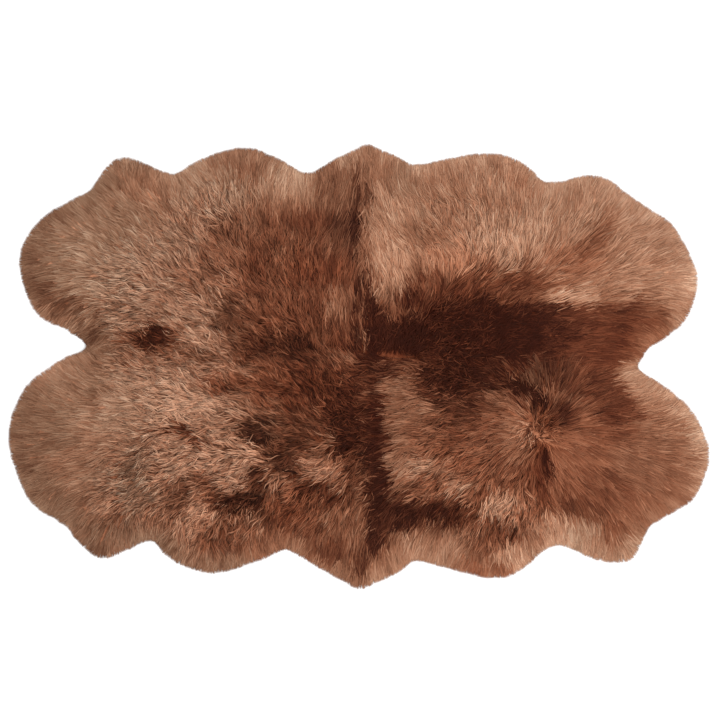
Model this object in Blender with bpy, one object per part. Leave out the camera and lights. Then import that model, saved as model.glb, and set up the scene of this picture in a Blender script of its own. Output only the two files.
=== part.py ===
"""A quad sheepskin rug lying wool side up: four sheepskins laid two by two and sewn edge to edge.

Each sheepskin is one solid, from the skin on the floor to the tips of its wool. Its pile rounds down to a
rim, where the wool ends in tapered locks that rest on the floor. The back of the rug is at +Y.
"""

import math
from collections import namedtuple

import bmesh
import bpy
from mathutils import Matrix, Vector
from mathutils.geometry import interpolate_bezier, intersect_line_line_2d, intersect_point_line

MM = 0.001

# The pile, in metres above the floor
RIM_HEIGHT = 0.020
CROWN_HEIGHT = 0.052
ROUND_OVER = 0.085

# The locks of wool round the rim, in metres. They differ by a share of their size, which turns by so many
# radians from lock to lock. The taper is in shares of a lock's reach and of the rim's own step and height.
LOCK_PITCH = 0.0188
LOCK_REACH = 0.026
LOCK_UNEVENNESS = 0.14
LOCK_SWAY_TURN = 2.4
LOCK_REACH_TURN = 1.7
LockSection = namedtuple("LockSection", "reach width height")
LOCK_SECTIONS = (
    LockSection(reach=0.55, width=0.74, height=0.62),
    LockSection(reach=1.00, width=0.16, height=0.16),
)

# The sewn seams: where each one reaches the wool's edge, in millimetres, and how the pile parts along them
BACK_SEAM_END = (22, 571)
LEFT_SEAM_END = (-701, 49)
FRONT_SEAM_END = (1, -575)
RIGHT_SEAM_END = (716, -3)
SEAM_GAP = 0.0003
SEAM_STEP = 0.040
SEAM_DIP = 0.009
SEAM_DIP_WIDTH = 0.032

# The top of each sheepskin is lofted in rings, each a share of the way from the skin's middle to its rim
RINGS = (0.96, 0.90, 0.82, 0.73, 0.62, 0.49, 0.34, 0.18)

# The wool's edge seen from above, anticlockwise, a row for each crest, dip and flank, in millimetres
SPLINE_STEPS = 24
Turn = namedtuple("Turn", "x y")
BACK_LEFT_EDGE = (
    Turn(-50, 537),
    Turn(-132, 498),
    Turn(-215, 535),
    Turn(-297, 561),
    Turn(-410, 530),
    Turn(-482, 496),
    Turn(-598, 536),
    Turn(-650, 508),
    Turn(-693, 453),
    Turn(-750, 420),
    Turn(-803, 389),
    Turn(-851, 334),
    Turn(-873, 257),
    Turn(-829, 136),
    Turn(-755, 96),
)
FRONT_LEFT_EDGE = (
    Turn(-791, -1),
    Turn(-863, -62),
    Turn(-900, -190),
    Turn(-847, -345),
    Turn(-770, -400),
    Turn(-672, -492),
    Turn(-602, -474),
    Turn(-539, -450),
    Turn(-504, -478),
    Turn(-462, -508),
    Turn(-372, -532),
    Turn(-256, -499),
    Turn(-184, -476),
    Turn(-89, -526),
)
FRONT_RIGHT_EDGE = (
    Turn(66, -546),
    Turn(108, -525),
    Turn(161, -503),
    Turn(341, -546),
    Turn(413, -525),
    Turn(505, -463),
    Turn(618, -499),
    Turn(693, -500),
    Turn(726, -452),
    Turn(753, -409),
    Turn(818, -369),
    Turn(866, -332),
    Turn(900, -240),
    Turn(891, -190),
    Turn(860, -122),
    Turn(800, -63),
    Turn(752, -31),
)
BACK_RIGHT_EDGE = (
    Turn(745, 45),
    Turn(790, 76),
    Turn(841, 124),
    Turn(869, 208),
    Turn(857, 268),
    Turn(808, 358),
    Turn(757, 396),
    Turn(696, 437),
    Turn(613, 489),
    Turn(487, 473),
    Turn(426, 517),
    Turn(328, 548),
    Turn(156, 519),
    Turn(91, 541),
)

# One row for each sheepskin, anticlockwise: a middle that sees all of its rim, the seam ends where its edge
# starts and stops, the edge between them and the colour of its wool
Skin = namedtuple("Skin", "name side middle start end edge colour")
SKINS = (
    Skin(
        name="sheepskin_back_left",
        side=(-1, 1),
        middle=(-260, 175),
        start=BACK_SEAM_END,
        end=LEFT_SEAM_END,
        edge=BACK_LEFT_EDGE,
        colour=(0.233, 0.112, 0.069),
    ),
    Skin(
        name="sheepskin_front_left",
        side=(-1, -1),
        middle=(-280, -110),
        start=LEFT_SEAM_END,
        end=FRONT_SEAM_END,
        edge=FRONT_LEFT_EDGE,
        colour=(0.222, 0.106, 0.067),
    ),
    Skin(
        name="sheepskin_front_right",
        side=(1, -1),
        middle=(300, -145),
        start=FRONT_SEAM_END,
        end=RIGHT_SEAM_END,
        edge=FRONT_RIGHT_EDGE,
        colour=(0.226, 0.099, 0.062),
    ),
    Skin(
        name="sheepskin_back_right",
        side=(1, 1),
        middle=(260, 214),
        start=RIGHT_SEAM_END,
        end=BACK_SEAM_END,
        edge=BACK_RIGHT_EDGE,
        colour=(0.275, 0.129, 0.077),
    ),
)
WOOL_ROUGHNESS = 0.9
SHARP_ANGLE = math.radians(50)

# Hollows and mounds of the pile: middle, half length, half width and rise in millimetres, turn in degrees
Swell = namedtuple("Swell", "x y length width turn rise")
SWELLS = (
    Swell(-526, 88, 52, 42, 0, -12),
    Swell(-333, 131, 40, 34, 0, -6),
    Swell(-732, 170, 90, 36, -45, -5),
    Swell(-153, 54, 150, 34, 0, -8),
    Swell(-300, -350, 100, 40, 0, -10),
    Swell(-258, -280, 60, 40, 70, -6),
    Swell(-250, -180, 70, 42, 20, -7),
    Swell(-179, -255, 60, 42, -25, -6),
    Swell(-449, -165, 60, 38, -20, -5),
    Swell(-590, -280, 76, 40, 60, -6),
    Swell(27, -165, 120, 46, 90, -8),
    Swell(336, 118, 240, 50, 2, -13),
    Swell(143, 208, 60, 34, 30, -8),
    Swell(438, -49, 120, 34, -20, -9),
    Swell(207, -370, 130, 34, -10, -8),
    Swell(387, -435, 50, 30, 0, -7),
    Swell(721, 105, 66, 40, -30, -8),
    Swell(451, -165, 46, 42, 0, -7),
    Swell(554, -375, 50, 38, -60, -5),
    Swell(-680, 273, 120, 100, 0, 5),
    Swell(-282, 470, 100, 70, 0, 4),
    Swell(-250, 250, 120, 80, 20, 4),
    Swell(104, 247, 90, 34, 50, 7),
    Swell(310, 375, 140, 90, 0, 5),
    Swell(541, 208, 100, 38, 5, 4),
    Swell(760, 298, 90, 80, 0, 4),
    Swell(-63, 195, 60, 36, 90, 4),
    Swell(156, -165, 100, 80, 0, 6),
    Swell(170, -280, 80, 50, -20, 5),
    Swell(-616, -87, 140, 80, 10, 5),
    Swell(-333, -242, 70, 50, 0, 6),
    Swell(-76, -255, 60, 40, -40, 5),
    Swell(-60, -430, 70, 60, 0, 4),
    Swell(670, -267, 120, 100, 0, 5),
)

# The even ripple of combed wool between them, in metres
RIPPLE_RISE = 0.0014
RIPPLE_LENGTH = Vector((0.071, 0.058))
RIPPLE_SWAY = 0.9


def in_metres(place):
    return Vector(place) * MM


def seam_crossing():
    """Where the four sheepskins meet."""
    seam_ends = (BACK_SEAM_END, FRONT_SEAM_END, LEFT_SEAM_END, RIGHT_SEAM_END)
    return intersect_line_line_2d(*[in_metres(end) for end in seam_ends])


def smooth_line(points):
    """A fine line that passes smoothly through the points."""
    line = [points[0]]
    last = len(points) - 1
    for i in range(last):
        before, here, there, after = points[max(i - 1, 0)], points[i], points[i + 1], points[min(i + 2, last)]
        leaving = here + (there - before) / 6
        arriving = there - (after - here) / 6
        line += interpolate_bezier(here, leaving, arriving, there, SPLINE_STEPS)[1:]
    return line


def even_points(line, step):
    """Points along a line, ends included, about a step apart."""
    reached = [0.0]
    for a, b in zip(line, line[1:]):
        reached.append(reached[-1] + (b - a).length)
    count = max(round(reached[-1] / step), 1)
    points, at = [], 0
    for k in range(count + 1):
        wanted = reached[-1] * k / count
        while at < len(line) - 2 and reached[at + 1] < wanted:
            at += 1
        share = (wanted - reached[at]) / (reached[at + 1] - reached[at])
        points.append(line[at].lerp(line[at + 1], share))
    return points


def wool_edge(skin):
    """Points along the wool's edge of one sheepskin, one at each gap between two locks."""
    turns = [in_metres((turn.x, turn.y)) for turn in skin.edge]
    return even_points(smooth_line([in_metres(skin.start)] + turns + [in_metres(skin.end)]), LOCK_PITCH)


def rim_points(edges, crossing):
    """Each sheepskin's rim: its wool edge moved in by the reach of the locks, along the seam at both ends."""
    loop = [point for edge in edges for point in edge[:-1]]
    rims, at = [], 0
    for skin, edge in zip(SKINS, edges):
        rim = []
        for k, point in enumerate(edge):
            along = loop[(at + k + 2) % len(loop)] - loop[(at + k - 2) % len(loop)]
            outward = Vector((along.y, -along.x)).normalized()
            rim.append(point - outward * LOCK_REACH)
        for k, end in ((0, in_metres(skin.start)), (-1, in_metres(skin.end))):
            rim[k] = end + (crossing - end).normalized() * LOCK_REACH
        rims.append(rim)
        at += len(edge) - 1
    return rims


def distance_to_line(point, line):
    """The distance from a point to a line of short steps."""
    nearest = math.inf
    for a, b in zip(line, line[1:]):
        foot, share = intersect_point_line(point, a, b)
        foot = a.lerp(b, min(max(share, 0.0), 1.0)) if not 0 <= share <= 1 else foot.to_2d()
        nearest = min(nearest, (point - foot).length)
    return nearest


def swell_height(point):
    """How far the hollows, mounds and ripple lift the pile at a point."""
    height = 0.0
    for swell in SWELLS:
        away = Matrix.Rotation(-math.radians(swell.turn), 2) @ (point - in_metres((swell.x, swell.y)))
        reach = (away.x / (swell.length * MM)) ** 2 + (away.y / (swell.width * MM)) ** 2
        height += swell.rise * MM * math.exp(-reach)
    phase_x = point.x / RIPPLE_LENGTH.x + RIPPLE_SWAY * math.sin(point.y / RIPPLE_LENGTH.y)
    phase_y = point.y / RIPPLE_LENGTH.y + RIPPLE_SWAY * math.cos(point.x / RIPPLE_LENGTH.x)
    return height + RIPPLE_RISE * math.sin(phase_x) * math.cos(phase_y)


def pile_height(point, rims, seams):
    """The height of the wool over the floor. It rounds down to the rim and parts a little along the seams."""
    inside = min(distance_to_line(point, rim) for rim in rims)
    rise = math.sin(min(inside / ROUND_OVER, 1.0) * math.pi / 2)
    parting = sum(math.exp(-((distance_to_line(point, seam) / SEAM_DIP_WIDTH) ** 2)) for seam in seams)
    crown = CROWN_HEIGHT + swell_height(point) - SEAM_DIP * min(parting, 1.0)
    return RIM_HEIGHT + (crown - RIM_HEIGHT) * rise


def seam_points(crossing, end, shift):
    """Points along one sewn edge between the crossing and the rim, both ends left out, moved off the seam."""
    line = even_points([crossing, end], SEAM_STEP)
    return [point + shift for point in line[1:-1]]


def outline_of(skin, rim, crossing):
    """One sheepskin's outline on the floor, anticlockwise from the crossing, and where its rim is in it."""
    off_seam = Vector(skin.side) * SEAM_GAP / 2
    off = {BACK_SEAM_END: Vector((off_seam.x, 0)), FRONT_SEAM_END: Vector((off_seam.x, 0))}
    off |= {LEFT_SEAM_END: Vector((0, off_seam.y)), RIGHT_SEAM_END: Vector((0, off_seam.y))}
    first = seam_points(crossing, rim[0], off[skin.start])
    last = seam_points(crossing, rim[-1], off[skin.end])
    rim = [rim[0] + off[skin.start]] + rim[1:-1] + [rim[-1] + off[skin.end]]
    outline = [crossing + off_seam] + first + rim + last[::-1]
    rim_places = range(1 + len(first), 1 + len(first) + len(rim))
    return outline, rim_places


def grow(bm, edges):
    """Extrudes a ring of edges and returns the new ring's vertices and edges."""
    grown = bmesh.ops.extrude_edge_only(bm, edges=edges)["geom"]
    ring = [part for part in grown if isinstance(part, bmesh.types.BMVert)]
    new = set(ring)
    edges = [part for part in grown if isinstance(part, bmesh.types.BMEdge)]
    ring_edges = [edge for edge in edges if new.issuperset(edge.verts)]
    return ring, ring_edges


def draw_out_lock(bm, face, tip, number):
    """Draws one face of the rim wall out into a tapered lock whose underside lies on the floor."""
    low = [v.co.to_2d() for v in face.verts if v.co.z < RIM_HEIGHT / 2]
    root = (low[0] + low[1]) / 2
    across = (low[1] - low[0]).normalized()
    width = min((low[1] - low[0]).length, LOCK_PITCH)
    sway = LOCK_UNEVENNESS * math.sin(LOCK_SWAY_TURN * number)
    reach = (tip - root) * (1 + LOCK_UNEVENNESS / 2 * (math.cos(LOCK_REACH_TURN * number) - 1))
    sides = {v.co.to_2d().freeze(): math.copysign(0.5, (v.co.to_2d() - root).dot(across)) for v in face.verts}
    for section in LOCK_SECTIONS:
        face = bmesh.ops.extrude_discrete_faces(bm, faces=[face])["faces"][0]
        middle = root + reach * section.reach + across * sway * width * section.reach
        moved = {}
        for v in face.verts:
            side = sides[v.co.to_2d().freeze()]
            place = middle + across * side * width * section.width
            v.co = (place.x, place.y, RIM_HEIGHT * section.height if v.co.z > 0 else 0)
            moved[v.co.to_2d().freeze()] = side
        sides = moved


def skin_mesh(skin, edge, rim, rims, seams, crossing):
    """One sheepskin: its flat underside, its rim wall with the locks, and its pile in rings up to the middle."""
    outline, rim_places = outline_of(skin, rim, crossing)
    bm = bmesh.new()
    floor = [bm.verts.new((point.x, point.y, 0)) for point in outline]
    underside = bm.faces.new(floor[::-1])

    ring, ring_edges = grow(bm, list(underside.edges))
    for v in ring:
        v.co.z = pile_height(v.co.to_2d(), rims, seams)
    for number, place in enumerate(rim_places[:-1]):
        low_edge = bm.edges.get((floor[place], floor[place + 1]))
        wall = next(face for face in low_edge.link_faces if face is not underside)
        draw_out_lock(bm, wall, (edge[number] + edge[number + 1]) / 2, number)

    middle = in_metres(skin.middle)
    about_middle = Matrix.Translation(-middle.to_3d())
    reached = 1.0
    for share in RINGS:
        ring, ring_edges = grow(bm, ring_edges)
        shrink = share / reached
        bmesh.ops.scale(bm, vec=(shrink, shrink, 1), space=about_middle, verts=ring)
        for v in ring:
            v.co.z = pile_height(v.co.to_2d(), rims, seams)
        reached = share
    ring, _ = grow(bm, ring_edges)
    top = middle.to_3d() + Vector((0, 0, pile_height(middle, rims, seams)))
    bmesh.ops.pointmerge(bm, verts=ring, merge_co=top)
    bmesh.ops.recalc_face_normals(bm, faces=bm.faces)
    bmesh.ops.translate(bm, vec=-middle.to_3d(), verts=bm.verts)

    mesh = bpy.data.meshes.new(skin.name)
    bm.to_mesh(mesh)
    bm.free()
    mesh.shade_smooth()
    mesh.set_sharp_from_angle(angle=SHARP_ANGLE)
    return mesh, middle.to_3d()


def wool_material(skin):
    material = bpy.data.materials.new(skin.name.replace("sheepskin", "wool"))
    material.use_nodes = True
    shader = material.node_tree.nodes["Principled BSDF"]
    shader.inputs["Base Color"].default_value = (*skin.colour, 1)
    shader.inputs["Roughness"].default_value = WOOL_ROUGHNESS
    shader.inputs["Metallic"].default_value = 0
    return material


def centre_on_origin(rug, skins):
    """Moves the rug so that the middle of its box is over the origin."""
    bpy.context.view_layer.update()
    corners = [skin.matrix_world @ Vector(corner) for skin in skins for corner in skin.bound_box]
    for axis in (0, 1):
        places = [corner[axis] for corner in corners]
        rug.location[axis] -= (min(places) + max(places)) / 2


def build():
    for old in list(bpy.data.objects):
        bpy.data.objects.remove(old)
    collection = bpy.data.collections.new("sheepskin_rug")
    bpy.context.scene.collection.children.link(collection)
    rug = bpy.data.objects.new("sheepskin_rug", None)
    collection.objects.link(rug)

    crossing = seam_crossing()
    edges = [wool_edge(skin) for skin in SKINS]
    rims = rim_points(edges, crossing)
    seams = [
        [in_metres(BACK_SEAM_END), in_metres(FRONT_SEAM_END)],
        [in_metres(LEFT_SEAM_END), in_metres(RIGHT_SEAM_END)],
    ]
    skins = []
    for skin, edge, rim in zip(SKINS, edges, rims):
        mesh, middle = skin_mesh(skin, edge, rim, rims, seams, crossing)
        mesh.materials.append(wool_material(skin))
        skin_object = bpy.data.objects.new(skin.name, mesh)
        skin_object.location = middle
        skin_object.parent = rug
        collection.objects.link(skin_object)
        skins.append(skin_object)
    centre_on_origin(rug, skins)


build()
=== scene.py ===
import math
from collections import namedtuple

import bmesh
import bpy
import numpy as np
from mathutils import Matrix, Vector
from mathutils.bvhtree import BVHTree
from mathutils.kdtree import KDTree


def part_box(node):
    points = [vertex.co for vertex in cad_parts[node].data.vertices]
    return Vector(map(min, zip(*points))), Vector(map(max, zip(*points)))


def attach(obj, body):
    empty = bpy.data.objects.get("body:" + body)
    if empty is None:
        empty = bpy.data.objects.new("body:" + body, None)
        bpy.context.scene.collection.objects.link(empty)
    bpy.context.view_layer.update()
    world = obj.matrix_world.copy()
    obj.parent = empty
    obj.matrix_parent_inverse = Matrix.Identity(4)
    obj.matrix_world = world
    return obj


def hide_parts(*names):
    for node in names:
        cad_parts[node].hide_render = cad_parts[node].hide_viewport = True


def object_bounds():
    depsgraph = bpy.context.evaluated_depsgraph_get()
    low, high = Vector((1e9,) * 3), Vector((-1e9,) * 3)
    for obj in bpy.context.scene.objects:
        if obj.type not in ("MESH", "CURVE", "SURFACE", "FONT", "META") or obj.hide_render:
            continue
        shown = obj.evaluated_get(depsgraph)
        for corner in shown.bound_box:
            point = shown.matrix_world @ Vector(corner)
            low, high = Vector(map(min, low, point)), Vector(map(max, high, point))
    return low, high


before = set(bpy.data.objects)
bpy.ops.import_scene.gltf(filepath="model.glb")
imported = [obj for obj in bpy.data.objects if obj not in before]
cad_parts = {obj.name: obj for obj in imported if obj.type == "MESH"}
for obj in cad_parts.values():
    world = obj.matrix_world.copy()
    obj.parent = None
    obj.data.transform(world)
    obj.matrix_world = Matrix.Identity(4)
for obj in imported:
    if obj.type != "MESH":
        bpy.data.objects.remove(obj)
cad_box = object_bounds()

# The photograph looks straight down on the rug from high above, so it shows almost no perspective. The rug
# lies a little below the middle of the picture, which is 1.85 m wide on the floor.
CAMERA_HEIGHT = 7.0
PICTURE_WIDTH = 1.8514
PICTURE_CENTRE = Vector((0.0013, 0.0178))

camera = bpy.data.cameras.new("camera")
camera.lens = camera.sensor_width * CAMERA_HEIGHT / PICTURE_WIDTH
camera_object = bpy.data.objects.new("camera", camera)
camera_object.location = (PICTURE_CENTRE.x, PICTURE_CENTRE.y, CAMERA_HEIGHT)
bpy.context.scene.collection.objects.link(camera_object)
bpy.context.scene.camera = camera_object
bpy.context.scene.view_settings.view_transform = "Standard"

# The studio: a plain pale floor just under the rug, a bright even surround and two soft lights overhead. The
# stronger light is towards the front right, so that the locks of wool shade each other a little.
FLOOR_SIZE = 12.0
FLOOR_DROP = 0.0005
FLOOR_COLOUR = (0.88, 0.88, 0.88)
SURROUND_STRENGTH = 0.70
StudioLight = namedtuple("StudioLight", "name place size power")
STUDIO_LIGHTS = (
    StudioLight("key_light", (1.7, -1.3, 5.2), 2.4, 176.0),
    StudioLight("fill_light", (-1.8, 1.8, 5.0), 3.6, 102.0),
)

bm = bmesh.new()
bmesh.ops.create_grid(bm, x_segments=1, y_segments=1, size=FLOOR_SIZE / 2)
bmesh.ops.translate(bm, vec=(0, 0, -FLOOR_DROP), verts=bm.verts)
floor_mesh = bpy.data.meshes.new("floor")
bm.to_mesh(floor_mesh)
bm.free()
floor = bpy.data.objects.new("floor", floor_mesh)
bpy.context.scene.collection.objects.link(floor)
floor_material = bpy.data.materials.new("pale_floor")
floor_material.use_nodes = True
floor_shader = floor_material.node_tree.nodes["Principled BSDF"]
floor_shader.inputs["Base Color"].default_value = (*FLOOR_COLOUR, 1)
floor_shader.inputs["Roughness"].default_value = 0.9
floor_shader.inputs["Specular IOR Level"].default_value = 0.1
floor_mesh.materials.append(floor_material)

surround = bpy.data.worlds.new("surround")
surround.use_nodes = True
surround.node_tree.nodes["Background"].inputs["Color"].default_value = (1, 1, 1, 1)
surround.node_tree.nodes["Background"].inputs["Strength"].default_value = SURROUND_STRENGTH
bpy.context.scene.world = surround
for studio_light in STUDIO_LIGHTS:
    light = bpy.data.lights.new(studio_light.name, "AREA")
    light.size = studio_light.size
    light.energy = studio_light.power
    light_object = bpy.data.objects.new(studio_light.name, light)
    light_object.location = studio_light.place
    light_object.rotation_euler = (-Vector(studio_light.place)).to_track_quat("-Z", "Y").to_euler()
    bpy.context.scene.collection.objects.link(light_object)

# The four sheepskins are sewn two by two. Maps of them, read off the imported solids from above, say how high
# the wool stands, how far each spot is outside the rim, which skin it is on and which way is out. Distances
# from the rim are less than 0 on the skins and more than 0 beyond them.
SKINS = ("sheepskin_back_left", "sheepskin_back_right", "sheepskin_front_left", "sheepskin_front_right")
MAP_CELL = 0.005
MAP_MARGIN = 0.06
RIM_HEIGHT = 0.0195
LOCK_REACH = 0.026
SAME_SPOT = 0.00001
RIM_SOFTENED_CELLS = 2
OUTWARD_SOFTENED_CELLS = 5
CELLS_BEYOND_SKIN = 8

map_low = np.array(cad_box[0][:2]) - MAP_MARGIN
map_size = ((np.array(cad_box[1][:2]) + MAP_MARGIN - map_low) / MAP_CELL).astype(int) + 1
map_x, map_y = np.meshgrid(*[map_low[k] + MAP_CELL * np.arange(map_size[k]) for k in (0, 1)])


def read_off(spots, a_map):
    """The values of a map at an array of spots, between its cells."""
    place = (spots[..., :2] - map_low) / MAP_CELL
    place = np.clip(place, 0, map_size - 1.001)
    cell = place.astype(int)
    right, up = np.moveaxis(place - cell, -1, 0)
    column, row = np.moveaxis(cell, -1, 0)
    low = a_map[row, column] * (1 - right) + a_map[row, column + 1] * right
    high = a_map[row + 1, column] * (1 - right) + a_map[row + 1, column + 1] * right
    return low * (1 - up) + high * up


def softened(a_map, cells):
    """A map averaged over a few cells each way."""
    weights = np.hanning(2 * cells + 3)[1:-1]
    weights /= weights.sum()
    for axis in (0, 1):
        margins = [(cells, cells) if k == axis else (0, 0) for k in (0, 1)]
        padded = np.pad(a_map, margins, mode="edge")
        places = np.arange(a_map.shape[axis])
        slices = [np.take(padded, places + k, axis=axis) for k in range(2 * cells + 1)]
        a_map = sum(weight * part for weight, part in zip(weights, slices))
    return a_map


solid_top = np.zeros(map_x.shape)
skin_map = np.full(map_x.shape, -1)
for number, name in enumerate(SKINS):
    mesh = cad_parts[name].data
    corners = [corner.co for corner in mesh.vertices]
    tree = BVHTree.FromPolygons(corners, [face.vertices for face in mesh.polygons])
    low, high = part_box(name)
    inside = (map_x > low[0]) & (map_x < high[0]) & (map_y > low[1]) & (map_y < high[1])
    for row, column in zip(*np.nonzero(inside)):
        above = Vector((map_x[row, column], map_y[row, column], 1))
        hit = tree.ray_cast(above, Vector((0, 0, -1)))[0]
        if hit is not None:
            solid_top[row, column] = hit.z
            skin_map[row, column] = number


def highest_near(a_map):
    """The highest value of each cell and its eight neighbours."""
    shifts = [(i, j) for i in (-1, 0, 1) for j in (-1, 0, 1)]
    return np.max([np.roll(a_map, shift, (0, 1)) for shift in shifts], axis=0)


# A cell that falls into a seam takes the height and the skin of a neighbour.
slab = solid_top > RIM_HEIGHT
slab = ~highest_near(~highest_near(slab))
in_seam = slab & (skin_map < 0)
solid_top[in_seam] = highest_near(solid_top)[in_seam]
skin_map[in_seam] = highest_near(skin_map)[in_seam]
border = slab & highest_near(~slab)
border_tree = KDTree(int(border.sum()))
for k, (row, column) in enumerate(zip(*np.nonzero(border))):
    border_tree.insert((map_x[row, column], map_y[row, column], 0), k)
border_tree.balance()
rim_distance = np.zeros(map_x.shape)
for row, column in np.ndindex(map_x.shape):
    rim_distance[row, column] = border_tree.find((map_x[row, column], map_y[row, column], 0))[2]
rim_distance = softened(np.where(slab, -rim_distance, rim_distance), RIM_SOFTENED_CELLS)
out_y, out_x = np.gradient(softened(rim_distance, OUTWARD_SOFTENED_CELLS))
out_length = np.hypot(out_x, out_y) + 1e-9
out_x, out_y = out_x / out_length, out_y / out_length
nearest_skin = skin_map.copy()
for _ in range(CELLS_BEYOND_SKIN):
    nearest_skin = np.where(nearest_skin < 0, highest_near(nearest_skin), nearest_skin)


# The colour of wool is worked out from three values: how light it is, how red it is, and how far along its
# fibre a spot lies, because the roots are darker and redder, partly their own colour and partly painted
# shade deep in the wool, and the sun has bleached the tips.
TONE_STOPS = (
    (0.00, (0.022, 0.004, 0.002)),
    (0.25, (0.105, 0.026, 0.011)),
    (0.50, (0.270, 0.092, 0.041)),
    (0.75, (0.500, 0.225, 0.117)),
    (1.00, (0.870, 0.530, 0.325)),
)
ALONG_STOPS = (
    (0.00, (0.46, 0.35, 0.30)),
    (0.35, (0.78, 0.70, 0.66)),
    (0.75, (1.02, 1.07, 1.10)),
    (1.00, (1.06, 1.22, 1.36)),
)
GREY_TINT = (0.83, 1.09, 1.31, 1)
RED_TINT = (1.15, 0.88, 0.80, 1)

wool_colour = bpy.data.node_groups.new("wool_colour", "ShaderNodeTree")
for name in ("Tone", "Redness", "Along"):
    wool_colour.interface.new_socket(name, in_out="INPUT", socket_type="NodeSocketFloat")
wool_colour.interface.new_socket("Colour", in_out="OUTPUT", socket_type="NodeSocketColor")
group_input = wool_colour.nodes.new("NodeGroupInput")
group_output = wool_colour.nodes.new("NodeGroupOutput")


def set_stops(ramp, stops):
    """Gives a colour ramp its stops, each a place and a colour."""
    ramp.color_ramp.elements.remove(ramp.color_ramp.elements[1])
    for k, (place, colour) in enumerate(stops):
        element = ramp.color_ramp.elements[0] if k == 0 else ramp.color_ramp.elements.new(place)
        element.position = place
        element.color = (*colour, 1)


def mixed(tree, kind, factor, a, b):
    """A colour mix node of the given kind. The factor and both colours are sockets or plain values."""
    node = tree.nodes.new("ShaderNodeMix")
    node.data_type = "RGBA"
    node.blend_type = kind
    for socket, value in ((node.inputs[0], factor), (node.inputs[6], a), (node.inputs[7], b)):
        if isinstance(value, bpy.types.NodeSocket):
            tree.links.new(value, socket)
        else:
            socket.default_value = value
    return node.outputs[2]


tone_ramp = wool_colour.nodes.new("ShaderNodeValToRGB")
tone_ramp.color_ramp.interpolation = "B_SPLINE"
set_stops(tone_ramp, TONE_STOPS)
wool_colour.links.new(group_input.outputs["Tone"], tone_ramp.inputs["Fac"])
along_ramp = wool_colour.nodes.new("ShaderNodeValToRGB")
set_stops(along_ramp, ALONG_STOPS)
wool_colour.links.new(group_input.outputs["Along"], along_ramp.inputs["Fac"])
tint = mixed(wool_colour, "MIX", group_input.outputs["Redness"], GREY_TINT, RED_TINT)
tinted = mixed(wool_colour, "MULTIPLY", 1.0, tone_ramp.outputs["Color"], tint)
shaded = mixed(wool_colour, "MULTIPLY", 1.0, tinted, along_ramp.outputs["Color"])
wool_colour.links.new(shaded, group_output.inputs["Colour"])

# Each skin is tanned hide, a soft pale suede underneath. It is cut back from the tips of the wool all round,
# and its seams are sewn edge to edge. Its shape is the flat underside of the solid without the locks.
HIDE_THICKNESS = 0.0025
HIDE_BEYOND_RIM = 0.004
UNDERSIDE_BELOW = 0.0001
HIDE_COLOURS = ((0.42, 0.30, 0.20, 1), (0.60, 0.47, 0.34, 1))

suede = bpy.data.materials.new("suede")
suede.use_nodes = True
suede_shader = suede.node_tree.nodes["Principled BSDF"]
suede_shader.inputs["Roughness"].default_value = 0.85
suede_place = suede.node_tree.nodes.new("ShaderNodeTexCoord")
suede_clouds = suede.node_tree.nodes.new("ShaderNodeTexNoise")
suede_clouds.inputs["Scale"].default_value = 9.0
suede_clouds.inputs["Detail"].default_value = 6.0
suede.node_tree.links.new(suede_place.outputs["Object"], suede_clouds.inputs["Vector"])
suede_colour = mixed(suede.node_tree, "MIX", suede_clouds.outputs["Fac"], *HIDE_COLOURS)
suede.node_tree.links.new(suede_colour, suede_shader.inputs["Base Color"])
suede_nap = suede.node_tree.nodes.new("ShaderNodeTexNoise")
suede_nap.inputs["Scale"].default_value = 420.0
suede.node_tree.links.new(suede_place.outputs["Object"], suede_nap.inputs["Vector"])
suede_bump = suede.node_tree.nodes.new("ShaderNodeBump")
suede_bump.inputs["Strength"].default_value = 0.4
suede_bump.inputs["Distance"].default_value = 0.0006
suede.node_tree.links.new(suede_nap.outputs["Fac"], suede_bump.inputs["Height"])
suede.node_tree.links.new(suede_bump.outputs["Normal"], suede_shader.inputs["Normal"])

for name in SKINS:
    bm = bmesh.new()
    bm.from_mesh(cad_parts[name].data)
    bmesh.ops.remove_doubles(bm, verts=bm.verts, dist=SAME_SPOT)
    raised = [face for face in bm.faces if face.calc_center_median().z > UNDERSIDE_BELOW]
    bmesh.ops.delete(bm, geom=raised, context="FACES")
    middles = np.array([face.calc_center_median() for face in bm.faces])
    outside = read_off(middles, rim_distance) > HIDE_BEYOND_RIM
    under_locks = [face for face, is_out in zip(bm.faces, outside) if is_out]
    bmesh.ops.delete(bm, geom=under_locks, context="FACES")
    bmesh.ops.dissolve_faces(bm, faces=bm.faces)
    bmesh.ops.triangulate(bm, faces=bm.faces)
    flat_area = sum(face.calc_area() for face in bm.faces)
    grown = bmesh.ops.extrude_face_region(bm, geom=bm.faces[:])["geom"]
    lifted = [part for part in grown if isinstance(part, bmesh.types.BMVert)]
    bmesh.ops.translate(bm, vec=(0, 0, HIDE_THICKNESS), verts=lifted)
    bmesh.ops.recalc_face_normals(bm, faces=bm.faces)
    hide_mesh = bpy.data.meshes.new(name.replace("sheepskin", "hide"))
    bm.to_mesh(hide_mesh)
    bm.free()
    hide_mesh.materials.append(suede)
    hide = bpy.data.objects.new(hide_mesh.name, hide_mesh)
    bpy.context.scene.collection.objects.link(hide)
    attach(hide, "root")
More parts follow.
